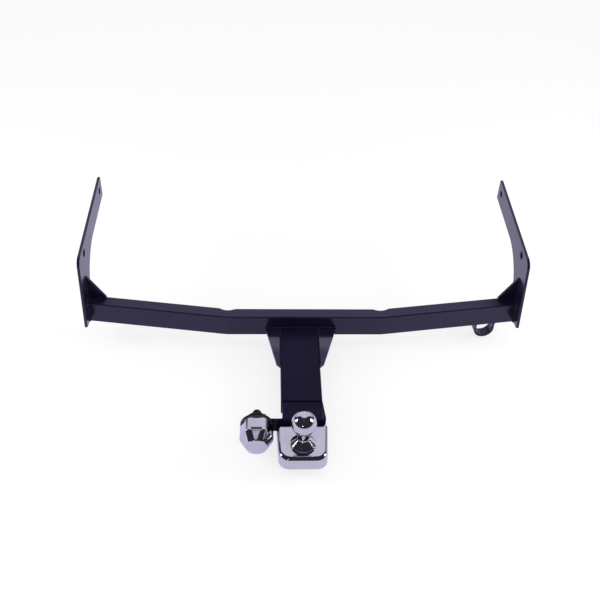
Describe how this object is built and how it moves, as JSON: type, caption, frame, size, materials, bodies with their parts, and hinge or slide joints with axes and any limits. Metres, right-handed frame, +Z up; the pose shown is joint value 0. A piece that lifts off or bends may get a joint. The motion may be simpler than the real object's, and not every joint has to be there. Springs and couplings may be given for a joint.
{
  "type": "trailer hitch",
  "caption": "Bolt-on trailer hitch: a bent tube between two chassis arms, a neck with a covered platform and tow ball, a lidded electric socket and a safety chain loop.",
  "frame": {"origin": "the centre of the tow ball", "axes": "+X to the right as seen from behind the car, along the cross tube; +Y forward into the car; +Z up, along the ball's shank"},
  "size_m": [1.0071, 0.7231, 0.2417],
  "materials": {
    "black_paint": "glossy",
    "bright_chrome": "polished",
    "zinc_steel": "zinc plated",
    "black_plastic": "moulded",
    "soft_rubber": "matte",
    "contact_brass": "bright"
  },
  "bodies": {
    "hitch": {"cross_tube": "black_paint", "left_arm": "black_paint", "right_arm": "black_paint", "left_end_gusset": "black_paint", "right_end_gusset": "black_paint", "neck_sleeve": "black_paint", "neck_box": "black_paint", "left_neck_gusset": "black_paint", "right_neck_gusset": "black_paint", "socket_bracket": "black_paint", "bracket_brace": "black_paint", "ball_platform": "black_paint", "platform_cover": "bright_chrome", "tow_ball": "bright_chrome", "ball_washer": "zinc_steel", "ball_lock_washer": "zinc_steel", "ball_nut": "zinc_steel", "socket_gasket": "soft_rubber", "socket_body": "black_plastic", "contact_insert": "black_plastic", "socket_contacts": "contact_brass", "socket_screws": "zinc_steel", "socket_nuts": "zinc_steel", "socket_shell": "bright_chrome", "hinge_pin": "zinc_steel", "hinge_spring": "zinc_steel", "cable_boot": "soft_rubber", "safety_loop": "black_paint"},
    "lid": {"socket_lid": "bright_chrome", "lid_liner": "black_plastic", "lid_seal": "soft_rubber"}
  },
  "joints": [
    {"name": "lid_hinge", "type": "hinge", "parent": "hitch", "child": "lid", "pos_m": [-0.093, 0.0195, -0.03616], "axis": [-1, 0, 0], "range_deg": [0, 100], "stiffness_Nm_per_rad": 0.04, "springref_deg": -40.11}
  ]
}
